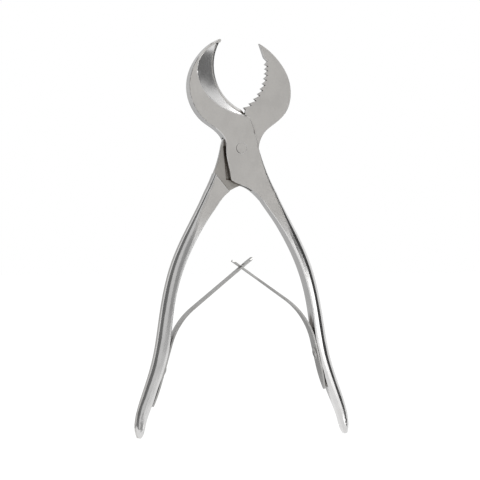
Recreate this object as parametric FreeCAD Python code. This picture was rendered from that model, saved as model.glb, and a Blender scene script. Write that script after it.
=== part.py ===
import FreeCAD, Part
import math
import os

os.makedirs("parts", exist_ok=True)
V = FreeCAD.Vector

# Plaster nippers, 9 inch pattern, standing open on the tips of the handles.
# X runs to the right, Z runs up towards the jaws, and the front faces -Y.
# The pivot axis is the line X = 0, Z = 0, and the joint's front flat is Y = 0.
# Lengths are in millimetres and angles in degrees.

# Joint
joint_thickness = 9.0
blade_thickness = 3.0
slot_gap = 0.06
hub_radius = 11.2
hub_gap = 0.3
waist_half_width = 10.3
neck_half_width = 9.2
crotch_drop = 20.8
closing_angle = 23.0
closing_spare = 1.2

# Pivot screw
pivot_radius = 3.0
pivot_running_gap = 0.05
pivot_head_radius = 4.6
pivot_head_depth = 1.7
pivot_slot_width = 1.0
pivot_slot_depth = 0.8

# Jaws
fork_reach = 62.6
fork_tip_blunt = 0.9
blade_reach = 60.3
blade_tip_offset = 11.5
jaw_bulge = 30.7
jaw_tip_thickness = 6.0
jaw_taper_start = 12.0
mouth_radius = 27.8
mouth_centre = (13.2, 47.8)
mouth_root_angle = 245.5
front_edge_radius = 30.9
front_edge_centre = (13.7, 47.5)
hollow_radius = 22.3
hollow_centre = (-3.2, 40.8)
hollow_curve = 90.0
slot_depth_at_middle = 6.2
slot_depth_at_root = 6.6

# Teeth
tooth_count = 10
tooth_depth = 1.8
tooth_centre = (-11.4, 46.0)
tooth_tip_radius = 26.4
first_tooth_angle = 5.2
first_tooth_pitch = 5.5
tooth_pitch_growth = 1.063
first_gullet_lag = 2.3
last_gullet_lag = -0.6
shank_step = 2.15

# Web of the toothed lever, between blade and handle
throat_step = 0.9
throat_depth = 3.4
hub_leave_angle = 171.0
shoulder_start = 0.56
relief_depth = 0.6
relief_land_radius = 8.8
relief_show = 2.3

# Handles, as sections along a path that starts below the joint
handle_root = (17.4, -27.2)
handle_root_width = 9.0
handle_root_flare = 0.7
handle_root_lean = 30.5
handle_straight = 25.0
handle_bow_length = 48.0
handle_bow_turn = -22.5
handle_waist_length = 13.0
handle_flare_length = 26.0
handle_flare_turn = 12.9
handle_tail_length = 36.5
handle_width = 6.9
palm_width = 7.5
handle_thickness = 11.0
palm_round = 4.4
palm_across = 5.6
root_round = 2.3
start_round = 0.3
end_round = 2.18
inner_round = 0.7
sharp_round = 0.3
palm_strips = 5
inner_strips = 3
left_lever_tilt = 1.3

# Springs
leaf_thickness = 1.0
leaf_width = 9.0
left_bend_radius = 40.0
right_bend_radius = 42.0
foot_tail = 21.5
left_foot_head = 15.5
right_foot_head = 6.8
seat_flat_depth = 0.7
crossing = (0.9, -68.3)
window_leaf_width = 6.4
window_width = 4.0
window_length = 5.2
tongue_width = 3.2
tongue_length = 18.0
window_leaf_end = 8.5
tongue_end = 6.6
left_seat = 104.5
right_seat = 97.0

# Spring screws
screw_radius = 1.4
screw_length = 5.2
screw_head_radius = 3.3
screw_head_height = 1.2
screw_hole_gap = 0.1
screw_slot_width = 0.7
screw_slot_depth = 0.55

half_joint = joint_thickness / 2
half_slot = blade_thickness / 2 + slot_gap
overcut = 20.0


def spot(point, y=0.0):
    """A point of the drawing plane, as a 3-D point at depth y."""
    return V(point[0], y, point[1])


def line(a, b):
    return Part.makeLine(spot(a), spot(b))


def arc(a, through, b):
    return Part.Arc(spot(a), spot(through), spot(b)).toShape()


def curve(points):
    spline = Part.BSplineCurve()
    spline.interpolate([spot(p) for p in points])
    return spline.toShape()


def slab(edges, low, high):
    """The closed outline of edges, as a plate from depth low to depth high."""
    face = Part.Face(Part.Wire(edges))
    plate = face.extrude(V(0, high - low, 0))
    plate.translate(V(0, low, 0))
    return plate


def polygon(points):
    return [line(a, b) for a, b in zip(points, points[1:] + points[:1])]


def post(centre, radius, low, high):
    """A round bar along Y."""
    return Part.makeCylinder(radius, high - low, spot(centre, low), V(0, 1, 0))


def polar(centre, radius, angle):
    """A point at radius from centre, angle degrees up from the +X direction."""
    a = math.radians(angle)
    return (centre[0] + radius * math.cos(a), centre[1] + radius * math.sin(a))


def turn(point, angle):
    """A point turned about the pivot, counter-clockwise as seen from the front."""
    radius = math.hypot(point[0], point[1])
    start = math.degrees(math.atan2(point[1], point[0]))
    return polar((0.0, 0.0), radius, start + angle)


def hub_tangent(point, radius, side):
    """Where a line from point touches a circle round the pivot, on one side."""
    reach = math.hypot(point[0], point[1])
    start = math.degrees(math.atan2(point[1], point[0]))
    return polar((0.0, 0.0), radius, start + side * math.degrees(math.acos(radius / reach)))


def mouth_point(radius, z):
    """The left hand point of a circle round the mouth's centre at height z."""
    rise = z - mouth_centre[1]
    return (mouth_centre[0] - math.sqrt(radius ** 2 - rise ** 2), z)


def fork_back():
    """The scoop jaw's round back, from beside its tip down to the neck."""
    shares = [(0.567, 0.953), (0.80, 0.84), (0.93, 0.73), (1.0, 0.555)]
    shares += [(0.915, 0.384), (0.684, 0.24), (0.443, 0.157)]
    return [(-x * jaw_bulge, z * fork_reach) for x, z in shares]


def blade_back():
    """The blade's round back, from beside its tip down to the neck."""
    shares = [(0.564, 0.937), (0.782, 0.823), (0.922, 0.708), (0.993, 0.536)]
    shares += [(0.915, 0.365), (0.71, 0.25), (0.498, 0.164)]
    return [(x * jaw_bulge, z * blade_reach) for x, z in shares]


def blade_tip():
    return (blade_tip_offset, blade_reach)


def swept(point, angle, gap):
    """Where a point comes to when its lever turns, with a gap left round its path."""
    radius = math.hypot(point[0], point[1])
    start = math.degrees(math.atan2(point[1], point[0]))
    return polar((0.0, 0.0), radius + gap, start + angle)


def handle_stretches():
    """The handle's path as stretches of one length and one turn each."""
    return [
        (handle_straight, 0.0),
        (handle_bow_length, handle_bow_turn),
        (handle_waist_length, 0.0),
        (handle_flare_length, handle_flare_turn),
        (handle_tail_length, 0.0),
    ]


def handle_point(distance):
    """The path's point and its lean from the vertical, at a distance from the root."""
    x, z = handle_root
    lean = handle_root_lean
    for length, bend in handle_stretches():
        part = min(max(distance, 0.0), length)
        turned = bend * part / length
        half = math.radians(turned / 2)
        chord = part if turned == 0 else part * math.sin(half) / half
        heading = math.radians(lean) + half
        x += chord * math.sin(heading)
        z -= chord * math.cos(heading)
        lean += turned
        distance -= part
    return (x, z), lean


def handle_side(distance, offset):
    """A point beside the path: a positive offset is on the palm side."""
    point, lean = handle_point(distance)
    return polar(point, offset, lean)


def handle_length():
    return sum(length for length, bend in handle_stretches())


def to_left(shape):
    """A shape of the right hand handle, carried over to the left hand lever."""
    shape = shape.mirror(V(0, 0, 0), V(1, 0, 0))
    shape.rotate(V(0, 0, 0), V(0, -1, 0), left_lever_tilt)
    return shape


def left_point(point):
    return turn((-point[0], point[1]), left_lever_tilt)


def lever_frame(point):
    """The point of the right hand handle that left_point carries to this one."""
    back = turn(point, -left_lever_tilt)
    return (-back[0], back[1])


def handle_section(distance, palm_side, inner_side, thickness, palm, palm_across, inner):
    """One closed section of the handle: a flat inner side, and corners rounded in narrow strips."""
    centre, lean = handle_point(distance)
    n_inner = inner - inner_side
    n_palm = palm_side - palm_across
    y_inner = thickness / 2 - inner
    y_palm = thickness / 2 - palm
    corners = [(n_inner, -y_inner, inner, inner, 180.0, inner_strips)]
    corners.append((n_palm, -y_palm, palm_across, palm, 270.0, palm_strips))
    corners.append((n_palm, y_palm, palm_across, palm, 0.0, palm_strips))
    corners.append((n_inner, y_inner, inner, inner, 90.0, inner_strips))
    points = []
    for across, depth, wide, deep, first, strips in corners:
        for i in range(strips + 1):
            n, y = polar((0.0, 0.0), 1.0, first + 90.0 * i / strips)
            points.append(spot(polar(centre, across + wide * n, lean), depth + deep * y))
    return Part.makePolygon(points + points[:1])


def handle_bar():
    """The handle below the joint, from its square root to its rounded tip."""
    whole = handle_length()
    seat = right_seat
    bow_end = handle_straight + handle_bow_length
    bow = 0.4 * handle_bow_length
    root = handle_root_width / 2
    slim = handle_width / 2
    full = palm_width / 2
    start = 0.4 * root + 0.6 * slim
    stations = [
        (0.0, root, root + handle_root_flare, joint_thickness, root_round, root_round, sharp_round),
        (0.5 * handle_straight, start, start + 0.2, joint_thickness, 2.9, 3.3, 0.5),
        (handle_straight, 1.04 * slim, 1.04 * slim, 0.92 * handle_thickness, 3.6, 4.8, inner_round),
        (handle_straight + bow, slim, slim, 0.97 * handle_thickness, 4.2, 5.4, inner_round),
        (bow_end, 0.97 * slim, 0.97 * slim, handle_thickness, palm_round, palm_across, inner_round),
        (seat, full, full, 0.98 * handle_thickness, palm_round, palm_across, 1.2),
        (seat + 15.0, 0.97 * full, 0.97 * full, 0.9 * handle_thickness, palm_round, 5.2, 1.6),
        (whole - 18.0, 0.85 * full, 0.92 * full, 0.76 * handle_thickness, 3.6, 4.6, 1.8),
        (whole - 9.0, 0.48 * full, 0.80 * full, 0.66 * handle_thickness, 3.0, 3.2, 1.4),
        (whole - 4.0, 0.08 * full, 0.64 * full, 0.52 * handle_thickness, 2.2, 1.8, 0.8),
        (whole, -0.12 * full, 0.54 * full, 0.24 * handle_thickness, 0.9, 0.9, 0.5),
    ]
    return Part.makeLoft([handle_section(*s) for s in stations], True, False)


def palm_arc(start, end):
    """The middle point of an arc that runs from start smoothly into the handle's root."""
    chord = math.degrees(math.atan2(end[0] - start[0], start[1] - end[1]))
    length = math.hypot(end[0] - start[0], end[1] - start[1])
    sag = 0.5 * length * math.tan(math.radians((handle_root_lean - chord) / 2))
    halfway = (0.5 * (start[0] + end[0]), 0.5 * (start[1] + end[1]))
    return polar(halfway, -sag, chord)


def near(vertex, point):
    return math.hypot(vertex.X - point[0], vertex.Z - point[1]) < 0.01


def round_palm_edge(plate, start, end):
    """The plate with its palm edge rounded more and more from start to the handle's root at end."""
    for side in (-1, 1):
        for edge in plate.Edges:
            ends = edge.Vertexes
            flat = [abs(v.Y - side * half_joint) < 0.01 for v in ends]
            if len(ends) != 2 or not all(flat):
                continue
            if near(ends[0], start) and near(ends[1], end):
                plate = plate.makeFillet(start_round, end_round, [edge])
                break
            if near(ends[0], end) and near(ends[1], start):
                plate = plate.makeFillet(end_round, start_round, [edge])
                break
    return plate


def cheek_corner():
    """The lower left corner of the cheeks, where the arch under the joint ends."""
    return (-0.59 * waist_half_width, -0.885 * crotch_drop)


def slot_cutter():
    """The space inside the fork that the blade lever swings through."""
    reach = closing_angle + closing_spare
    radius = hub_radius + hub_gap
    far = jaw_bulge + overcut
    top = swept(blade_tip(), reach, hub_gap)
    over = swept(blade_tip(), 0.5 * reach, hub_gap)
    out = swept(blade_tip(), 0.0, hub_gap)
    middle = mouth_point(mouth_radius + slot_depth_at_middle, mouth_centre[1] - 2.5)
    root = polar(mouth_centre, mouth_radius + slot_depth_at_root, mouth_root_angle - 10.0)
    neck = polar((0.0, 0.0), radius, 165.0)
    upper = [arc(top, middle, root), line(root, neck), line(neck, (0.0, 0.0))]
    upper += [line((0.0, 0.0), (far, 0.0)), line((far, 0.0), (far, out[1])), line((far, out[1]), out)]
    upper.append(arc(out, over, top))
    heel = swept(web_heel(), reach, hub_gap)
    shoulder = hub_tangent(heel, radius, 1)
    low = polar(heel, 14.0, 240.0)
    lower = [(0.0, 0.0), shoulder, heel, low, (-far, low[1]), (-far, neck[1] - 0.5), (neck[0], neck[1] - 0.5)]
    cutter = slab(upper, -half_slot, half_slot)
    cutter = cutter.fuse(slab(polygon(lower), -half_slot, half_slot))
    return cutter.fuse(post((0.0, 0.0), radius, -half_slot, half_slot))


def jaw_side_profile():
    """A block whose two faces close in on each other from the joint to the jaw's tip."""
    tip = jaw_tip_thickness / 2
    run = fork_reach - jaw_taper_start
    low = -handle_length() - overcut
    middle = half_joint - (half_joint - tip) * 0.25

    def at(y, z):
        return V(-jaw_bulge - overcut, y, z)

    edges = []
    for side in (-1, 1):
        a = at(side * half_joint, jaw_taper_start)
        b = at(side * middle, jaw_taper_start + run / 2)
        c = at(side * tip, fork_reach)
        edges.append(Part.Arc(a, b, c).toShape())
        edges.append(Part.makeLine(c, at(side * tip, fork_reach + overcut)))
        edges.append(Part.makeLine(a, at(side * half_joint, low)))
    edges.append(Part.makeLine(at(-tip, fork_reach + overcut), at(tip, fork_reach + overcut)))
    edges.append(Part.makeLine(at(-half_joint, low), at(half_joint, low)))
    face = Part.Face(Part.Wire(Part.__sortEdges__(edges)))
    return face.extrude(V(2 * (jaw_bulge + overcut), 0, 0))


def jaw_hollow():
    """The ball that grinds the hollow in the scoop's front face, a little deeper towards the joint."""
    run = hollow_centre[1] - jaw_taper_start
    span = fork_reach - jaw_taper_start
    drop = (half_joint - jaw_tip_thickness / 2) * (run / span) ** 2
    slope = math.degrees(2 * drop / run)
    ball = Part.makeSphere(hollow_curve)
    ball.translate(V(0, -math.sqrt(hollow_curve ** 2 - hollow_radius ** 2), 0))
    ball.rotate(V(0, 0, 0), V(1, 0, 0), slope)
    ball.translate(spot(hollow_centre, drop - half_joint))
    return ball


def fork_plate():
    """The flat of the fork lever: scoop jaw, joint and the square start of the handle."""
    edge = mouth_point(mouth_radius, fork_reach - fork_tip_blunt)
    tip = (edge[0] - fork_tip_blunt, fork_reach)
    round_tip = (edge[0] - 0.35 * fork_tip_blunt, fork_reach - 0.35 * fork_tip_blunt)
    corner = polar(mouth_centre, mouth_radius, mouth_root_angle)
    middle = mouth_point(mouth_radius, mouth_centre[1])
    outer = root_corner(1)
    inner = root_corner(-1)
    waist = (waist_half_width, 0.0)
    right = [corner, (0.53 * waist_half_width, 16.1), (0.73 * waist_half_width, 10.4)]
    right += [(0.905 * waist_half_width, 4.7), waist]
    arch = [inner, (0.7 * inner[0], -1.25 * crotch_drop), (0.33 * inner[0], -1.09 * crotch_drop)]
    arch += [(-0.08 * inner[0], -crotch_drop), cheek_corner()]
    left = [cheek_corner(), (-0.84 * neck_half_width, -9.8), (-neck_half_width, 0.0), (-neck_half_width, 3.0)]
    left += fork_back()[::-1] + [tip]
    edges = [arc(edge, middle, corner), curve(right), arc(waist, palm_arc(waist, outer), outer)]
    edges += [line(outer, inner), curve(arch), curve(left), arc(tip, round_tip, edge)]
    plate = slab(edges, -half_joint, half_joint)
    return round_palm_edge(plate, waist, outer)


def fork_lever():
    """The lever with the slotted scoop jaw, two joint cheeks and the right hand handle."""
    lever = fork_plate().common(jaw_side_profile())
    lever = lever.cut(post(front_edge_centre, front_edge_radius, -overcut, 0.0))
    lever = lever.cut(jaw_hollow())
    lever = lever.cut(slot_cutter())
    lever = lever.fuse(handle_bar())
    lever = lever.cut(post((0.0, 0.0), pivot_radius, -overcut, overcut))
    lever = lever.cut(post((0.0, 0.0), pivot_head_radius, half_joint - pivot_head_depth, overcut))
    lever = lever.cut(seat_cutter(right_seat))
    return lever


def web_heel():
    """The hidden lower corner of the blade lever's web."""
    return (0.12 * crotch_drop, -0.99 * crotch_drop)


def tooth_edge():
    """The toothed edge, from the last gullet by the pivot up to the first."""
    tips = []
    root_radius = tooth_tip_radius + tooth_depth
    gullets = [polar(tooth_centre, root_radius, first_tooth_angle + 0.6 * first_tooth_pitch)]
    angle = first_tooth_angle
    pitch = first_tooth_pitch
    for i in range(tooth_count):
        lag = first_gullet_lag + (last_gullet_lag - first_gullet_lag) * i / (tooth_count - 1)
        tips.append(polar(tooth_centre, tooth_tip_radius, angle))
        gullets.append(polar(tooth_centre, root_radius, angle - lag))
        angle -= pitch
        pitch *= tooth_pitch_growth
    points = [gullets[0]]
    for tip, gullet in zip(tips, gullets[1:]):
        points += [tip, gullet]
    points.reverse()
    return points


def relief_pocket():
    """Where the flats are set back beside the cheeks, outside the round bearing land."""
    corner = moved(cheek_corner(), (-1.0, 0.0), relief_show)
    top = (-neck_half_width - 0.7, 1.0)
    inside = (0.0, -0.5 * crotch_drop)
    outline = polygon([top, corner, cheek_corner(), inside, (-0.3 * neck_half_width, 1.0)])
    pocket = slab(outline, blade_thickness / 2 - relief_depth, overcut)
    return pocket.cut(post((0.0, 0.0), relief_land_radius, 0.0, overcut))


def web_west():
    """Where the web's left edge leaves the round hub for the handle."""
    return polar((0.0, 0.0), hub_radius, hub_leave_angle)


def root_corner(side):
    """A corner of the right hand handle's root: 1 for the palm side, -1 for the inner side."""
    if side == 1:
        return handle_side(0.0, handle_root_width / 2)
    return handle_side(0.0, -handle_root_width / 2 - handle_root_flare)


def left_root(side):
    """The same corner of the left hand handle's root."""
    return left_point(root_corner(side))


def web_outline():
    """The outline of the toothed lever's plate: blade, hub and the web down to the handle."""
    teeth = tooth_edge()
    root = teeth[0]
    throat = (root[0] - throat_step, root[1] - throat_depth)
    shank = moved(teeth[-1], (-1.0, 1.0), shank_step)
    east = (hub_radius, 0.0)
    heel = web_heel()
    heel_touch = hub_tangent(heel, hub_radius, 1)
    south_east = polar((0.0, 0.0), hub_radius, 0.5 * math.degrees(math.atan2(heel_touch[1], heel_touch[0])))
    inner = left_root(-1)
    west = web_west()
    throat_touch = hub_tangent(throat, hub_radius, 1)
    touch_angle = math.degrees(math.atan2(throat_touch[1], throat_touch[0]))
    north_west = polar((0.0, 0.0), hub_radius, 0.5 * (hub_leave_angle + touch_angle))
    back = [blade_tip()] + blade_back() + [(hub_radius + 0.6, 3.6), east]
    arch = [heel, (-0.14 * crotch_drop, -1.09 * crotch_drop), (0.58 * inner[0], 0.83 * inner[1]), inner]
    palm = palm_arc(lever_frame(west), lever_frame(left_root(1)))
    edges = [curve(back), arc(east, south_east, heel_touch), line(heel_touch, heel), curve(arch)]
    edges += [line(inner, left_root(1)), arc(left_root(1), left_point(palm), west)]
    edges += [arc(west, north_west, throat_touch), line(throat_touch, throat), line(throat, root)]
    edges += [line(a, b) for a, b in zip(teeth, teeth[1:])]
    return edges + [line(teeth[-1], shank), line(shank, blade_tip())]


def shoulder_block():
    """The full thickness start of the left hand handle, outside the cheeks' swing."""
    inner = left_root(-1)
    outer = left_root(1)
    west = web_west()
    high = moved(west, (outer[0] - west[0], outer[1] - west[1]), shoulder_start)
    low = (0.58 * inner[0], 0.83 * inner[1])
    run = (low[0] - high[0], low[1] - high[1])
    ends = (moved(high, run, -1.0), moved(low, run, 1.0))
    below = [moved(p, (run[1], -run[0]), 2.0) for p in ends]
    region = polygon([ends[0], ends[1], below[1], below[0]])
    block = round_palm_edge(slab(web_outline(), -half_joint, half_joint), west, outer)
    return block.common(slab(region, -overcut, overcut))


def toothed_lever():
    """The lever with the toothed blade, the thin web in the slot and the left hand handle."""
    lever = slab(web_outline(), -blade_thickness / 2, blade_thickness / 2)
    pocket = relief_pocket()
    lever = lever.cut(pocket)
    lever = lever.cut(pocket.mirror(V(0, 0, 0), V(0, 1, 0)))
    lever = lever.fuse(shoulder_block())
    lever = lever.fuse(to_left(handle_bar()))
    lever = lever.cut(post((0.0, 0.0), pivot_radius + pivot_running_gap, -overcut, overcut))
    return lever.cut(to_left(seat_cutter(left_seat)))


def pivot_screw():
    """The pivot: a plain shank ground flush at the front, and a slotted head let in at the rear."""
    screw = post((0.0, 0.0), pivot_radius, -half_joint, half_joint)
    screw = screw.fuse(post((0.0, 0.0), pivot_head_radius, half_joint - pivot_head_depth, half_joint))
    slot = Part.makeBox(4 * pivot_head_radius, overcut, pivot_slot_width)
    slot.translate(V(-2 * pivot_head_radius, half_joint - pivot_slot_depth, -pivot_slot_width / 2))
    slot.rotate(V(0, 0, 0), V(0, 1, 0), 20)
    return screw.cut(slot)


def seat_axes(seat):
    """The seat's middle on the handle, the way up along it and the way out of it."""
    point, lean = handle_point(seat)
    inward = polar((0.0, 0.0), 1.0, lean + 180)
    along = polar((0.0, 0.0), 1.0, lean + 90)
    middle = polar(point, seat_flat_depth - palm_width / 2, lean)
    return middle, along, inward


def moved(point, direction, distance):
    return (point[0] + direction[0] * distance, point[1] + direction[1] * distance)


def seat_cutter(seat):
    """The flat ground on the handle for a spring's foot, with the hole for its screw."""
    middle, along, inward = seat_axes(seat)
    low = moved(middle, along, -foot_tail - 10.0)
    high = moved(middle, along, foot_tail + 10.0)
    edges = polygon([low, high, moved(high, inward, overcut), moved(low, inward, overcut)])
    flat = slab(edges, -overcut, overcut)
    axis = V(-inward[0], 0, -inward[1])
    return flat.fuse(Part.makeCylinder(screw_radius, screw_length - leaf_thickness, spot(middle), axis))


def leaf_route(seat, head, radius, cross, beyond):
    """The leaf's middle line: straight foot, one bend, and a straight blade past the crossing."""
    middle, along, inward = seat_axes(seat)
    start = moved(moved(middle, inward, leaf_thickness / 2), along, -foot_tail)
    bend = moved(start, along, foot_tail + head)
    centre = moved(bend, inward, radius)
    gap = math.hypot(cross[0] - centre[0], cross[1] - centre[1])
    way = math.degrees(math.atan2(cross[1] - centre[1], cross[0] - centre[0]))
    touch_angle = way - math.degrees(math.acos(radius / gap))
    touch = polar(centre, radius, touch_angle)
    run = math.hypot(cross[0] - touch[0], cross[1] - touch[1])
    heading = ((cross[0] - touch[0]) / run, (cross[1] - touch[1]) / run)
    return start, bend, centre, touch, moved(cross, heading, beyond), inward, heading


def leaf_strip(route, radius):
    """The leaf at its full width, before its outline is trimmed."""
    start, bend, centre, touch, end, inward, heading = route
    half = leaf_thickness / 2
    side = (-heading[1], heading[0])
    inner = [moved(p, inward, half) for p in (start, bend)]
    outer = [moved(p, inward, -half) for p in (start, bend)]
    middle = moved((0.5 * (bend[0] + touch[0]), 0.5 * (bend[1] + touch[1])), centre, -1.0)
    angle = math.degrees(math.atan2(middle[1], middle[0]))
    inner_middle = polar(centre, radius - half, angle)
    outer_middle = polar(centre, radius + half, angle)
    inner_blade = [moved(p, side, half) for p in (touch, end)]
    outer_blade = [moved(p, side, -half) for p in (touch, end)]
    edges = [line(inner[0], inner[1]), arc(inner[1], inner_middle, inner_blade[0])]
    edges += [line(inner_blade[0], inner_blade[1]), line(inner_blade[1], outer_blade[1])]
    edges += [line(outer_blade[1], outer_blade[0]), arc(outer_blade[0], outer_middle, outer[1])]
    edges += [line(outer[1], outer[0]), line(outer[0], inner[0])]
    return slab(edges, -leaf_width / 2, leaf_width / 2)


def leaf_plan(heights):
    """The leaf's outline seen from the side, as half widths at heights, both sides alike."""
    right = [V(-2 * overcut - jaw_bulge, y, z) for z, y in heights]
    left = [V(-2 * overcut - jaw_bulge, -y, z) for z, y in reversed(heights)]
    corners = right + left
    wire = Part.makePolygon(corners + corners[:1])
    return Part.Face(wire).extrude(V(4 * overcut + 3 * jaw_bulge, 0, 0))


def foot_outline(start, bend):
    """The foot's rounded point, as half widths at heights."""
    full = leaf_width / 2
    rise = 0.6 * foot_tail
    steps = 6
    outline = []
    for i in range(steps + 1):
        share = i / steps
        outline.append((start[1] + rise * share, full * (0.12 + 0.88 * math.sin(share * math.pi / 2) ** 0.8)))
    outline.append((bend[1], full))
    return outline


def leaf_screw_hole(seat):
    middle, along, inward = seat_axes(seat)
    foot = moved(middle, inward, -1.0)
    axis = V(inward[0], 0, inward[1])
    return Part.makeCylinder(screw_radius + screw_hole_gap, leaf_thickness + 2.0, spot(foot), axis)


def left_spring():
    """The left leaf, with the window near its free end, made as a right hand one first."""
    cross = lever_frame(crossing)
    route = leaf_route(left_seat, left_foot_head, left_bend_radius, cross, window_leaf_end)
    start, bend, centre, touch, end, inward, heading = route
    half = window_leaf_width / 2
    heights = foot_outline(start, bend)
    heights += [(cross[1] - window_length, half), (end[1] - 1.5, half), (end[1] + 1.0, 0.55 * half)]
    leaf = leaf_strip(route, left_bend_radius).common(leaf_plan(heights))
    a = moved(cross, heading, -window_length / 2)
    b = moved(cross, heading, window_length / 2)
    side = (-heading[1], heading[0])
    through = 3 * leaf_thickness
    outline = [moved(a, side, through), moved(b, side, through)]
    outline += [moved(b, side, -through), moved(a, side, -through)]
    leaf = leaf.cut(slab(polygon(outline), -window_width / 2, window_width / 2))
    return to_left(leaf.cut(leaf_screw_hole(left_seat)))


def right_spring():
    """The right leaf, narrowed to the tongue that passes through the left leaf's window."""
    route = leaf_route(right_seat, right_foot_head, right_bend_radius, crossing, tongue_end)
    start, bend, centre, touch, end, inward, heading = route
    half = tongue_width / 2
    shoulder = moved(crossing, heading, tongue_end - tongue_length)
    heights = foot_outline(start, bend)
    heights += [(shoulder[1], half), (end[1] - 0.8, half), (end[1] + 0.8, 0.5 * half)]
    leaf = leaf_strip(route, right_bend_radius).common(leaf_plan(heights))
    return leaf.cut(leaf_screw_hole(right_seat))


def spring_screw(seat):
    """A low domed screw through the leaf's foot into the handle."""
    middle, along, inward = seat_axes(seat)
    top = leaf_thickness
    rim = 0.35 * screw_head_height
    dome = top + screw_head_height
    profile = [V(0, 0, top - screw_length), V(screw_radius, 0, top - screw_length), V(screw_radius, 0, top)]
    profile += [V(screw_head_radius, 0, top), V(screw_head_radius, 0, top + rim)]
    edges = [Part.makeLine(a, b) for a, b in zip(profile, profile[1:])]
    shoulder = V(0.62 * screw_head_radius, 0, top + 0.86 * screw_head_height)
    edges.append(Part.Arc(profile[-1], shoulder, V(0, 0, dome)).toShape())
    edges.append(Part.makeLine(V(0, 0, dome), profile[0]))
    screw = Part.Face(Part.Wire(edges)).revolve(V(0, 0, 0), V(0, 0, 1), 360)
    slot = Part.makeBox(4 * screw_head_radius, screw_slot_width, overcut)
    slot.translate(V(-2 * screw_head_radius, -screw_slot_width / 2, dome - screw_slot_depth))
    slot.rotate(V(0, 0, 0), V(0, 0, 1), 35)
    screw = screw.cut(slot)
    turned = FreeCAD.Rotation(V(0, 0, 1), V(inward[0], 0, inward[1]))
    screw.Placement = FreeCAD.Placement(spot(middle), turned)
    return screw


def save(name, shape):
    """Write one piece, set so that the joint's front flat lies at Y = 0."""
    shape = shape.copy()
    shape.translate(V(0, half_joint, 0))
    shape.exportStep("parts/" + name + ".step")
    solids = len(shape.Solids)
    print(name, "solids", solids, "valid", shape.isValid(), "volume", round(shape.Volume, 1))


save("fork_lever", fork_lever())
save("toothed_lever", toothed_lever())
save("pivot_screw", pivot_screw())
save("left_spring", left_spring())
save("right_spring", right_spring())
save("left_spring_screw", to_left(spring_screw(left_seat)))
save("right_spring_screw", spring_screw(right_seat))
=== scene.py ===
import math

import bmesh
import bpy
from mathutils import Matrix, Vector
from mathutils.bvhtree import BVHTree


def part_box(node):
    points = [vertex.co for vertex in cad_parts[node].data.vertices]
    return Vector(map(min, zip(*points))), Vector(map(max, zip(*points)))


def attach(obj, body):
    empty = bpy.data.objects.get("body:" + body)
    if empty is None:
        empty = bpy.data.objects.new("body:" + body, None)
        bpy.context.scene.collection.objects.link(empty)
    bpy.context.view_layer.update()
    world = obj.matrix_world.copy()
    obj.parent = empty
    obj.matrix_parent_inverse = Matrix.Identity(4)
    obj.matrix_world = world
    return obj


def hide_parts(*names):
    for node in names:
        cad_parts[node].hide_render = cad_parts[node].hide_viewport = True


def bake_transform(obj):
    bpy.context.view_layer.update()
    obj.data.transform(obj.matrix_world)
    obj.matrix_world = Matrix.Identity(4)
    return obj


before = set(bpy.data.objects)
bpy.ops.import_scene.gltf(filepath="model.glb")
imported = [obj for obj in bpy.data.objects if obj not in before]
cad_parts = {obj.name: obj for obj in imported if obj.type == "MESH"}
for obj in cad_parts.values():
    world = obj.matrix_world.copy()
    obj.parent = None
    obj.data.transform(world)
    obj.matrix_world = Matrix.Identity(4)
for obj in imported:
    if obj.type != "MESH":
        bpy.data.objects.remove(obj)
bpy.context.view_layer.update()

# Fork lever. One steel forging, from the slotted scoop jaw through the two joint cheeks to the
# right hand handle. Jaw and joint are ground to a fine satin, and the scoop's hollow and the
# handle are polished. The outer edges of jaw and joint are broken by hand on a wheel.
joint_middle = 0.0045
weld_distance = 1e-6
flat_within = math.radians(0.3)


def placed(name, mesh):
    """A new object with this mesh, in the scene."""
    thing = bpy.data.objects.new(name, mesh)
    bpy.context.scene.collection.objects.link(thing)
    return thing


def closed_copy(node, name):
    """A copy of a CAD node as one closed mesh, with the triangles of each flat face joined."""
    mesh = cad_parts[node].data.copy()
    mesh.name = name
    form = bmesh.new()
    form.from_mesh(mesh)
    bmesh.ops.remove_doubles(form, verts=form.verts, dist=weld_distance)
    bmesh.ops.dissolve_limit(form, angle_limit=flat_within, verts=form.verts, edges=form.edges)
    form.to_mesh(mesh)
    form.free()
    if mesh.attributes.get("custom_normal"):
        mesh.attributes.remove(mesh.attributes["custom_normal"])
    return placed(name, mesh)


def settled(piece):
    """The piece with its modifiers made part of a plain mesh."""
    bpy.context.view_layer.update()
    view = piece.evaluated_get(bpy.context.evaluated_depsgraph_get())
    mesh = bpy.data.meshes.new_from_object(view)
    mesh.name = piece.name
    piece.modifiers.clear()
    piece.data = mesh
    return piece


# How wide the edges are broken: most along the hollow's rim and on the blade's shoulder, less
# along the outline, least on the teeth, and not at all on the handles and inside the joint.
widest_break = 0.00036
edge_break = 0.00022
tooth_break = 0.00010
flat_facing = 0.9
slant_facing = 0.5
shoulder_facing = 0.4
rim_heights = (0.0, 0.054)
shoulder_span = (-0.0178, 0.0)
shoulder_heights = (-0.026, 0.0)
unbroken_below = -0.0135
tooth_row_centre = Vector((-0.0114, 0.0, 0.0460))
tooth_row_radii = (0.0262, 0.0287)


def within(value, span):
    """Whether a value lies between the two ends of a span."""
    return span[0] < value < span[1]


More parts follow.
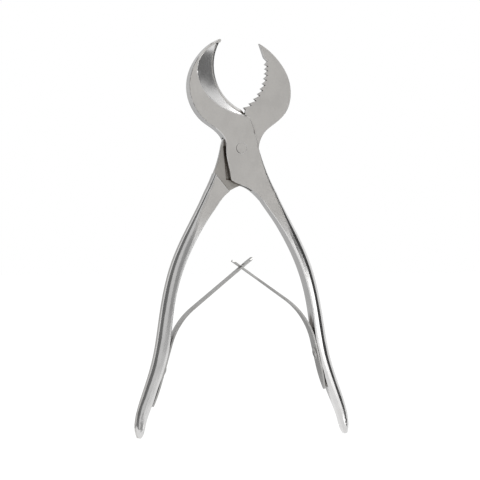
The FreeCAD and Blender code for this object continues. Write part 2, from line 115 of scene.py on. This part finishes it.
def breaks_at(edge, outside):
    """How wide one edge is broken, or 0; edges nearer than outside to the joint's middle stay."""
    flat, wall = sorted(edge.link_faces, key=lambda face: -abs(face.normal.y))
    middle = (edge.verts[0].co + edge.verts[1].co) / 2
    if abs(flat.normal.y) < flat_facing or abs(middle.y - joint_middle) < outside:
        return 0.0
    if abs(wall.normal.y) > flat_facing:
        return widest_break if within(middle.z, rim_heights) else 0.0
    if abs(wall.normal.y) > slant_facing:
        return 0.0
    slanting = wall.normal.x > shoulder_facing and wall.normal.z > shoulder_facing
    if slanting and within(middle.x, shoulder_span) and within(middle.z, shoulder_heights):
        return widest_break
    if middle.z < unbroken_below:
        return 0.0
    from_centre = [(Vector((v.co.x, 0.0, v.co.z)) - tooth_row_centre).length for v in edge.verts]
    if all(within(distance, tooth_row_radii) for distance in from_centre):
        return tooth_break
    return edge_break


smooth_below = math.radians(34)
rim_angle = math.radians(5)
stray_limit = 0.00015


def break_edges(piece, outside, rounded_below=-math.inf):
    """Break the edges of a piece's flats and shade the rest smooth, and all below a height."""
    form = bmesh.new()
    form.from_mesh(piece.data)
    broken = form.edges.layers.float.new("bevel_weight_edge")
    for face in form.faces:
        face.smooth = True
    for edge in form.edges:
        angle = edge.calc_face_angle(0.0)
        between_flats = min(abs(face.normal.y) for face in edge.link_faces) > flat_facing
        edge.smooth = angle < smooth_below and not (between_flats and angle > rim_angle)
        if max(vert.co.z for vert in edge.verts) < rounded_below:
            edge.smooth = True
        elif not edge.smooth:
            edge[broken] = breaks_at(edge, outside) / widest_break
    unbroken = BVHTree.FromBMesh(form)
    form.to_mesh(piece.data)
    form.free()
    bevel = piece.modifiers.new("broken edges", "BEVEL")
    bevel.width = widest_break
    bevel.segments = 2
    bevel.limit_method = "WEIGHT"
    bevel.use_clamp_overlap = False
    settled(piece)
    bring_back_strays(piece, unbroken)
    even = piece.modifiers.new("even shading", "WEIGHTED_NORMAL")
    even.keep_sharp = True
    return settled(piece)


def bring_back_strays(piece, unbroken):
    """Put vertices that the bevel threw off the piece back on its unbroken surface."""
    for vertex in piece.data.vertices:
        place, _, _, distance = unbroken.find_nearest(vertex.co)
        if distance > stray_limit:
            vertex.co = place


# The scoop's front curves back towards its tip. The hollow in it is a shallow bowl with a round
# outline, which is drawn in near the tip.
hollow_centre = (0.0070, 0.0562)
hollow_radius = 0.0379
hollow_curve = 0.140
hollow_loss = 0.00122
taper_start = 0.0120
tip_set_back = 0.0015
past_tip = 1.05
scoop_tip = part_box("fork_lever")[1].z


def jaw_run(z):
    """How far up the jaw's taper a height is, from 0 to 1 at the tip and held a little past it.

    Further up, the hollow's cutter would cross itself, and the cut would fail.
    """
    return min(max(z - taper_start, 0.0) / (scoop_tip - taper_start), past_tip)


def jaw_face(z):
    """The depth of the jaw's front face, which curves back towards the tip."""
    return tip_set_back * jaw_run(z) ** 2


def hollow_depth(radius):
    """The depth of the hollow's ground at a distance from its middle, by height."""
    def depth(z):
        reach_squared = hollow_radius ** 2 - hollow_loss * jaw_run(z) ** 4
        return jaw_face(z) + (reach_squared - radius * radius) / (2 * hollow_curve)
    return depth


slot_front = 0.0029


def fill_cad_hollow(piece):
    """Bring the ground of the CAD's hollow forward to the jaw's face, so that a better one can be cut."""
    for vertex in piece.data.vertices:
        if vertex.co.z > taper_start and jaw_face(vertex.co.z) < vertex.co.y < slot_front:
            vertex.co.y = jaw_face(vertex.co.z)


cutter_steps = 144
innermost = 1e-4


def turned_cutter(name, centre, profile):
    """A closed solid turned about an axis along Y; the profile has radii, each with its depth by height."""
    form = bmesh.new()
    rings = []
    for radius, depth in profile:
        ring = []
        for i in range(cutter_steps):
            angle = math.tau * i / cutter_steps
            x = centre[0] + radius * math.cos(angle)
            z = centre[1] + radius * math.sin(angle)
            ring.append(form.verts.new((x, depth(z), z)))
        rings.append(ring)
    for inner, outer in zip(rings, rings[1:]):
        for i in range(cutter_steps):
            form.faces.new((inner[i - 1], inner[i], outer[i], outer[i - 1]))
    form.faces.new(rings[0])
    form.faces.new(rings[-1])
    bmesh.ops.recalc_face_normals(form, faces=form.faces)
    mesh = bpy.data.meshes.new(name)
    form.to_mesh(mesh)
    form.free()
    return placed(name, mesh)


def cut(piece, cutter):
    """The piece less the cutter, which is used up."""
    shave = piece.modifiers.new("cut", "BOOLEAN")
    shave.operation = "DIFFERENCE"
    shave.solver = "EXACT"
    shave.object = cutter
    settled(piece)
    bpy.data.objects.remove(cutter)
    return piece


hollow_over = 0.0006
hollow_rings = 34
hollow_lid = -0.009


def hollow_profile():
    """The hollow's cutter from its middle outwards, closed in front of the jaw."""
    widest = hollow_radius + hollow_over
    radii = [max(innermost, widest * i / hollow_rings) for i in range(hollow_rings + 1)]
    profile = [(radius, hollow_depth(radius)) for radius in radii]
    profile.append((widest, lambda z: hollow_lid))
    profile.append((innermost, lambda z: hollow_lid))
    return profile


# The rear wall of the slot shows through the mouth, with its edge chamfered.
mouth_centre = (0.0132, 0.0478)
lip_radius = 0.0302
lip_width = 0.0046
lip_slope = math.tan(math.radians(27))
lip_lid = 0.0055
lip_start = 0.00606


def lip_profile():
    """The chamfer's cutter, which starts inside the slot and widens towards the mouth's rim."""
    lip_end = lip_start + lip_width * lip_slope
    corners = (
        (innermost, lip_lid),
        (lip_radius, lip_lid),
        (lip_radius, lip_start),
        (lip_radius - lip_width, lip_end),
        (innermost, lip_end),
    )
    return [(radius, lambda z, level=level: level) for radius, level in corners]


handle_end_starts = -0.1500
slice_distance = 1e-7
end_rings = 16
lowest_ring = 0.0001
ring_spacing = 1.5
same_level = 0.0002
end_bulge = 1.1


def slice_at(form, height):
    """Cut all faces of a form along one level, without parting them."""
    everything = list(form.verts) + list(form.edges) + list(form.faces)
    place = (0, 0, height)
    bmesh.ops.bisect_plane(form, geom=everything, dist=slice_distance, plane_co=place, plane_no=(0, 0, 1))


def blunt_end(piece, aside, lift):
    """Fill the handle's end out to a rounded bullet, and shift it aside and up."""
    form = bmesh.new()
    form.from_mesh(piece.data)
    low = min(vert.co.z for vert in form.verts)
    length = handle_end_starts - low
    for i in range(end_rings):
        slice_at(form, low + lowest_ring + length * (i / end_rings) ** ring_spacing)
    end = [vert for vert in form.verts if vert.co.z < handle_end_starts]
    moves = []
    for vert in end:
        share = (handle_end_starts - vert.co.z) / length
        ring = [other.co for other in end if abs(other.co.z - vert.co.z) < same_level]
        middle = 0.5 * (min(co.x for co in ring) + max(co.x for co in ring))
        more = 1.0 + end_bulge * share ** 3 * math.sqrt(max(0.0, 1.0 - share ** 6))
        x = middle + (vert.co.x - middle) * more + aside * share ** 2
        y = joint_middle + (vert.co.y - joint_middle) * more
        moves.append((vert, (x, y, vert.co.z + lift * share ** 2)))
    for vert, place in moves:
        vert.co = place
    form.to_mesh(piece.data)
    form.free()


def feed(tree, socket, value):
    """Set a socket to a number or a colour, or link another socket to it."""
    if isinstance(value, (int, float)):
        socket.default_value = value
    elif isinstance(value, tuple):
        socket.default_value = (*value, 1.0)
    else:
        tree.links.new(value, socket)


def math_of(tree, operation, *values):
    """The output of one Math node on sockets or numbers."""
    node = tree.nodes.new("ShaderNodeMath")
    node.operation = operation
    for socket, value in zip(node.inputs, values):
        feed(tree, socket, value)
    return node.outputs[0]


def plus(tree, a, b):
    """The sum of two sockets or numbers."""
    return math_of(tree, "ADD", a, b)


def less(tree, a, b):
    """The first of two sockets or numbers less the second."""
    return math_of(tree, "SUBTRACT", a, b)


def times(tree, a, b):
    """The product of two sockets or numbers."""
    return math_of(tree, "MULTIPLY", a, b)


def ramp_of(tree, value, low, high, to_low=0.0, to_high=1.0):
    """A smooth step of a value between two limits."""
    node = tree.nodes.new("ShaderNodeMapRange")
    node.interpolation_type = "SMOOTHSTEP"
    for key, number in (("From Min", low), ("From Max", high), ("To Min", to_low), ("To Max", to_high)):
        node.inputs[key].default_value = number
    tree.links.new(value, node.inputs["Value"])
    return node.outputs["Result"]


def mix_colour(tree, share, a, b, blend="MIX"):
    """The output of one colour Mix node; share, a and b are sockets or values."""
    node = tree.nodes.new("ShaderNodeMix")
    node.data_type = "RGBA"
    node.blend_type = blend
    for socket, value in zip((node.inputs[0], node.inputs[6], node.inputs[7]), (share, a, b)):
        feed(tree, socket, value)
    return node.outputs[2]


def noise_of(tree, vector, scale, detail, stretch=(1.0, 1.0, 1.0)):
    """Noise on object coordinates, which may be stretched into streaks."""
    mapping = tree.nodes.new("ShaderNodeMapping")
    mapping.inputs["Scale"].default_value = stretch
    tree.links.new(vector, mapping.inputs["Vector"])
    node = tree.nodes.new("ShaderNodeTexNoise")
    node.inputs["Scale"].default_value = scale
    node.inputs["Detail"].default_value = detail
    tree.links.new(mapping.outputs["Vector"], node.inputs["Vector"])
    return node.outputs["Fac"]


def axes_of(tree, vector):
    """The x, y and z of a vector socket."""
    node = tree.nodes.new("ShaderNodeSeparateXYZ")
    tree.links.new(vector, node.inputs[0])
    return node.outputs


def bare_metal(name):
    """A new metal material, with its node tree, its shader and its object coordinates."""
    material = bpy.data.materials.new(name)
    material.use_nodes = True
    tree = material.node_tree
    shader = tree.nodes["Principled BSDF"]
    shader.inputs["Metallic"].default_value = 1.0
    place = tree.nodes.new("ShaderNodeTexCoord").outputs["Object"]
    return material, tree, shader, place


def grain(tree, shader, height, strength, depth):
    """Fine relief on a shader, from a noise."""
    bump = tree.nodes.new("ShaderNodeBump")
    bump.inputs["Strength"].default_value = strength
    bump.inputs["Distance"].default_value = depth
    tree.links.new(height, bump.inputs["Height"])
    tree.links.new(bump.outputs["Normal"], shader.inputs["Normal"])


def dress(piece, material):
    """Give a piece one material in place of those it has."""
    piece.data.materials.clear()
    piece.data.materials.append(material)


inside_border = 0.0001
outside_border = 0.0003
half_step = 0.0001


def off_hollow(tree, x, y, z):
    """1 on the steel round the scoop's hollow and behind the slot, and 0 in the hollow."""
    across = less(tree, x, hollow_centre[0])
    up = less(tree, z, hollow_centre[1])
    squares = plus(tree, times(tree, across, across), times(tree, up, up))
    run = math_of(tree, "MAXIMUM", less(tree, z, taper_start), 0.0)
    lost = times(tree, math_of(tree, "POWER", run, 4.0), hollow_loss / (scoop_tip - taper_start) ** 4)
    reach = math_of(tree, "SQRT", plus(tree, squares, lost))
    away = ramp_of(tree, reach, hollow_radius - inside_border, hollow_radius + outside_border)
    behind = ramp_of(tree, y, joint_middle - half_step, joint_middle + half_step)
    return math_of(tree, "MAXIMUM", away, behind)


web_half = 0.002
web_fades = (0.0, 0.004)


def on_web(tree, y, z):
    """1 on the thin web below the pivot, and 0 on the blade and the handle."""
    thin = math_of(tree, "LESS_THAN", math_of(tree, "ABSOLUTE", less(tree, y, joint_middle)), web_half)
    return times(tree, thin, ramp_of(tree, z, *web_fades, to_low=1.0, to_high=0.0))


crevice_reach = 0.006
crevice_samples = 12
# Painted shade and grime: the levels of ambient occlusion between which the crevices turn brown, and the
# heights where this fades out.
shade_and_grime_limits = (0.42, 0.68)
shade_and_grime_heights = (-0.150, -0.140)


def crevice_shade_and_grime(tree, z):
    """Painted shade and grime: 1 deep in a crevice, where ambient occlusion finds the steel hidden, and 0
    in the open and on the handles' ends.
    """
    hidden = tree.nodes.new("ShaderNodeAmbientOcclusion")
    hidden.inputs["Distance"].default_value = crevice_reach
    hidden.samples = crevice_samples
    stain = ramp_of(tree, hidden.outputs["AO"], *shade_and_grime_limits, to_low=1.0, to_high=0.0)
    return times(tree, stain, ramp_of(tree, z, *shade_and_grime_heights))


satin_grey = (0.545, 0.530, 0.510)
polished_grey = (0.66, 0.655, 0.65)
# Painted shade and grime: the brown that the steel turns where ambient occlusion finds a crevice.
shade_and_grime_brown = (0.075, 0.055, 0.038)
# The factor by which the colour of the thin web below the pivot is made darker.
web_darkening = (0.72, 0.71, 0.69)
mottle_tone = (0.93, 0.93, 0.93)
satin_rough = 0.46
polished_rough = 0.17
rough_spread = 0.12
flat_limits = (0.90, 0.985)
satin_heights = (-0.058, -0.034)
mottle_limits = (0.38, 0.62)
cloud_share = 0.65
fine_relief = 0.6


def lever_steel(name, hollow=False, darker_web=False):
    """Satin on the flats of jaw and joint, polish elsewhere and in the hollow, painted shade and grime in
    the crevices.
    """
    material, tree, shader, place = bare_metal(name)
    x, y, z = axes_of(tree, place)
    normal = tree.nodes.new("ShaderNodeNewGeometry").outputs["Normal"]
    flat = ramp_of(tree, math_of(tree, "ABSOLUTE", axes_of(tree, normal)[1]), *flat_limits)
    satin = times(tree, flat, ramp_of(tree, z, *satin_heights))
    if hollow:
        satin = times(tree, satin, off_hollow(tree, x, y, z))
    cloud = noise_of(tree, place, scale=95.0, detail=3.0)
    fine = noise_of(tree, place, scale=900.0, detail=5.0)
    streaks = noise_of(tree, place, scale=420.0, detail=4.0, stretch=(4.0, 4.0, 0.35))
    mottle = plus(tree, times(tree, cloud, cloud_share), times(tree, fine, 1.0 - cloud_share))
    light = mix_colour(tree, satin, polished_grey, satin_grey)
    # The colour is made darker on the thin web below the pivot.
    if darker_web:
        light = mix_colour(tree, on_web(tree, y, z), light, web_darkening, "MULTIPLY")
    shade = mix_colour(tree, ramp_of(tree, mottle, *mottle_limits), light, mottle_tone, "MULTIPLY")
    # Painted shade and grime: the colour is darkened to brown in crevices, by ambient occlusion.
    shaded_and_grimed = mix_colour(tree, crevice_shade_and_grime(tree, z), shade, shade_and_grime_brown)
    tree.links.new(shaded_and_grimed, shader.inputs["Base Color"])
    even = ramp_of(tree, satin, 0.0, 1.0, polished_rough, satin_rough)
    rough = plus(tree, even, times(tree, less(tree, streaks, 0.5), rough_spread))
    tree.links.new(rough, shader.inputs["Roughness"])
    grain(tree, shader, plus(tree, streaks, times(tree, fine, fine_relief)), strength=0.10, depth=0.00005)
    return material


cheek_outside = 0.0029
scoop = closed_copy("fork_lever", "scoop_jaw_lever")
fill_cad_hollow(scoop)
cut(scoop, turned_cutter("scoop hollow", hollow_centre, hollow_profile()))
cut(scoop, turned_cutter("mouth lip", mouth_centre, lip_profile()))
blunt_end(scoop, aside=-0.0020, lift=0.0012)
break_edges(scoop, cheek_outside, handle_end_starts)
dress(scoop, lever_steel("ground and polished steel, scoop", hollow=True))
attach(scoop, "fork_lever")
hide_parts("fork_lever")

# Toothed lever. The second forging: the saw-toothed blade is filed out of a thin web, which runs
# in the fork's slot and thickens at a slanting shoulder into the left hand handle.
toothed = closed_copy("toothed_lever", "toothed_blade_lever")
blunt_end(toothed, aside=0.0029, lift=0.0028)
break_edges(toothed, 0.0, handle_end_starts)
dress(toothed, lever_steel("ground and polished steel, blade", darker_web=True))
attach(toothed, "toothed_lever")
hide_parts("toothed_lever")

# Pivot screw. A plain steel pin, screwed in from the rear and then ground flush with the joint's
# front flat, so that only a hairline ring shows there. The rear has a slotted head let into it.
dress(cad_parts["pivot_screw"], lever_steel("ground steel, pivot"))

# Leaf springs. Two strips of polished spring steel, blanked and bent by hand over a former. The
# foot of each lies on its handle.
leaf_slices = 64
leaf_light = (0.43, 0.425, 0.415)
leaf_dark = (0.37, 0.365, 0.355)
leaf_rough = (0.20, 0.32)
cloud_limits = (0.35, 0.65)
line_limits = (0.3, 0.7)


def leaf_steel(name):
    """Polished spring steel with faint lengthwise lines from the polishing wheel."""
    material, tree, shader, place = bare_metal(name)
    lines = noise_of(tree, place, scale=380.0, detail=4.0, stretch=(0.5, 5.0, 0.5))
    cloud = noise_of(tree, place, scale=120.0, detail=3.0)
    shade = mix_colour(tree, ramp_of(tree, cloud, *cloud_limits), leaf_light, leaf_dark)
    tree.links.new(shade, shader.inputs["Base Color"])
    tree.links.new(ramp_of(tree, lines, *line_limits, *leaf_rough), shader.inputs["Roughness"])
    grain(tree, shader, lines, strength=0.08, depth=0.00004)
    return material


def leaf_spring(node, name, lever, foot_end, bend_end, material):
    """One leaf as a copy of its CAD node with broken edges, sliced across along its height, in its
    material, with the node hidden.
    """
    leaf = break_edges(closed_copy(node, name), 0.0)
    form = bmesh.new()
    form.from_mesh(leaf.data)
    low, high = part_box(node)
    for i in range(1, leaf_slices):
        slice_at(form, low.z + (high.z - low.z) * i / leaf_slices)
    form.to_mesh(leaf.data)
    form.free()
    dress(leaf, material)
    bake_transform(leaf)
    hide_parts(node)
    return leaf


spring_finish = leaf_steel("polished spring steel")
left_bend = ((-0.04115, joint_middle, -0.11188), (-0.02795, joint_middle, -0.09182))
right_bend = ((0.04463, joint_middle, -0.11166), (0.02774, joint_middle, -0.08693))
leaf_spring("left_spring", "window_leaf", "toothed_lever", *left_bend, spring_finish)
leaf_spring("right_spring", "tongue_leaf", "fork_lever", *right_bend, spring_finish)

# Spring screws. Two small slotted screws with low domed heads, turned from bar and polished, one
# through the foot of each leaf into its handle.
screw_finish = leaf_steel("polished screw steel")
for screw in ("left_spring_screw", "right_spring_screw"):
    dress(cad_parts[screw], screw_finish)

# Studio. The nippers stand upright just above a white floor, in a white tent, with one soft lamp
# low on the right and one high in front. Cards round them give the polished steel its bands. The
# floor lies as low as the toothed lever's handle can swing, so that no pose sinks into it.
floor_height = -max(vertex.co.length for vertex in toothed.data.vertices)
floor_reach = 6.0
floor_colour = (0.9, 0.9, 0.9)
floor_glow = 1.2
glow_share = 0.75
aim = Vector((0.0003, joint_middle, -0.0527))


def stage_mesh(name, corners, faces):
    """A piece of the studio, which isn't a piece of the nippers."""
    mesh = bpy.data.meshes.new(name)
    mesh.from_pydata(corners, [], faces)
    thing = placed(name, mesh)
    return thing


def level_sheet(name, left, right, near, far, height):
    """A level rectangle, given by its four sides."""
    corners = [(left, near, height), (right, near, height), (right, far, height), (left, far, height)]
    return stage_mesh(name, corners, [(0, 1, 2, 3)])


def bare_surface(name):
    """A new material, with its node tree and the socket that takes its shader."""
    material = bpy.data.materials.new(name)
    material.use_nodes = True
    tree = material.node_tree
    tree.nodes.remove(tree.nodes["Principled BSDF"])
    return material, tree, tree.nodes["Material Output"].inputs["Surface"]


def glow_of(tree, strength):
    """A shader that gives off an even white light."""
    lamp = tree.nodes.new("ShaderNodeEmission")
    lamp.inputs["Strength"].default_value = strength
    return lamp.outputs[0]


def shader_mix(tree, share, first, second):
    """The output of one Mix Shader node."""
    node = tree.nodes.new("ShaderNodeMixShader")
    for socket, value in zip(node.inputs, (share, first, second)):
        feed(tree, socket, value)
    return node.outputs[0]


def looked_at(tree):
    """1 where the camera sees a thing, also by reflection, and 0 where it only lights others."""
    rays = tree.nodes.new("ShaderNodeLightPath").outputs
    seen = math_of(tree, "MAXIMUM", rays["Is Camera Ray"], rays["Is Glossy Ray"])
    return math_of(tree, "MAXIMUM", seen, rays["Is Transmission Ray"])


def floor_white():
    """A white floor that glows where it is looked at, and is plain matt white to all other light."""
    material, tree, surface = bare_surface("white floor")
    plain = tree.nodes.new("ShaderNodeBsdfDiffuse")
    feed(tree, plain.inputs["Color"], floor_colour)
    both = shader_mix(tree, glow_share, plain.outputs[0], glow_of(tree, floor_glow))
    tree.links.new(shader_mix(tree, looked_at(tree), plain.outputs[0], both), surface)
    return material


floor = level_sheet("floor", -floor_reach, floor_reach, -floor_reach, floor_reach, floor_height)
floor.data.materials.append(floor_white())


def only_reflected(thing, strength):
    """Make a thing glow, and show it in reflections only."""
    material, tree, surface = bare_surface(thing.name)
    tree.links.new(glow_of(tree, strength), surface)
    thing.data.materials.append(material)
    thing.visible_camera = False
    thing.visible_diffuse = False
    thing.visible_shadow = False


def around(azimuth, radius, height):
    """A point at an azimuth seen from the object, where 0 is straight in front and 90 is its right."""
    a = math.radians(azimuth)
    return Vector((radius * math.sin(a), -radius * math.cos(a), height))


card_steps = 12
far_card = 1.5
near_card = 0.5


def card(name, first, last, low, high, radius, strength):
    """A curved upright card between two azimuths and two heights."""
    corners = []
    for i in range(card_steps + 1):
        azimuth = first + (last - first) * i / card_steps
        corners.append(around(azimuth, radius, low))
        corners.append(around(azimuth, radius, high))
    faces = [(2 * i, 2 * i + 2, 2 * i + 3, 2 * i + 1) for i in range(card_steps)]
    only_reflected(stage_mesh(name, corners, faces), strength)


card("left dark card", -112, -56, floor_height, 1.3, far_card, strength=0.20)
card("left light card", -56, -30, floor_height, 1.4, far_card, strength=0.78)
card("front grey card", -30, 14, floor_height, 0.6, far_card, strength=0.38)
card("near grey card", 27, 38, -0.045, 0.225, near_card, strength=0.16)
card("near grey card beside it", 38, 49, -0.045, 0.182, near_card, strength=0.16)
card("near dark card", 48, 84, -0.16, 0.20, near_card, strength=0.07)
card("back light card", 150, 212, floor_height, 0.9, far_card, strength=0.62)

cloth_above_floor = 0.0005
cloth = level_sheet("back grey cloth", -1.0, 0.6, 0.12, 1.45, floor_height + cloth_above_floor)
only_reflected(cloth, strength=0.55)

tent_light = 0.8
world = bpy.data.worlds.new("white tent")
bpy.context.scene.world = world
world.use_nodes = True
sky = world.node_tree
seen_white = sky.nodes["Background"]
seen_white.inputs["Strength"].default_value = 1.0
seen_white.inputs["Color"].default_value = (1.0, 1.0, 1.0, 1.0)
light_only = sky.nodes.new("ShaderNodeBackground")
light_only.inputs["Strength"].default_value = tent_light
tent = shader_mix(sky, looked_at(sky), light_only.outputs[0], seen_white.outputs[0])
sky.links.new(tent, sky.nodes["World Output"].inputs["Surface"])


def face_aim(thing):
    """Turn a lamp or a camera towards the middle of the nippers."""
    thing.rotation_euler = (aim - thing.location).to_track_quat("-Z", "Y").to_euler()


def soft_lamp(name, azimuth, radius, height, width, length, radiance):
    """A soft box that faces the nippers, as bright as its radiance says."""
    lamp = bpy.data.lights.new(name, "AREA")
    lamp.shape = "RECTANGLE"
    lamp.size = width
    lamp.size_y = length
    lamp.energy = radiance * math.pi * width * length
    thing = placed(name, lamp)
    thing.location = around(azimuth, radius, height)
    face_aim(thing)


soft_lamp("right soft box", 34, 1.3, -0.04, width=0.62, length=0.24, radiance=1.5)
soft_lamp("front soft box", 12, 1.4, 1.25, width=1.0, length=0.8, radiance=2.6)

camera_azimuth = -16.0
camera_distance = 1.2
camera = placed("camera", bpy.data.cameras.new("camera"))
bpy.context.scene.camera = camera
camera.data.lens = 156.6
camera.data.sensor_width = 36.0
camera.location = aim + around(camera_azimuth, camera_distance, 0.0)
face_aim(camera)

bpy.context.scene.view_settings.view_transform = "Standard"
